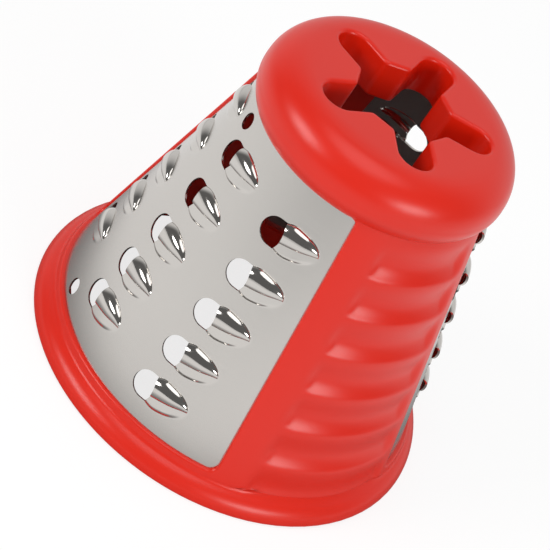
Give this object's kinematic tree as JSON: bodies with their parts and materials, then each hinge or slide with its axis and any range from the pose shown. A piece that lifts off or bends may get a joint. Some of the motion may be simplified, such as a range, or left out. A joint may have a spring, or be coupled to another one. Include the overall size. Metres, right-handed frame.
{
  "type": "grating cone",
  "caption": "Hollow moulded drum cone with stainless grating sheets in its side windows, a rolled rim and a star-shaped drive socket.",
  "frame": {"origin": "centre of the wide rim's underside, on the cone's axis", "axes": "+Z along the cone's axis from the wide rim to the head; the first grating faces -Y, and one lobe of the drive socket points the same way"},
  "size_m": [0.1, 0.1, 0.088],
  "materials": {
    "red_plastic": "glossy moulded red",
    "stainless_sheet": "satin sheet with polished teeth"
  },
  "bodies": {
    "root": {"drum_body": "red_plastic", "front_grating": "stainless_sheet", "back_grating": "stainless_sheet"}
  },
  "joints": []
}
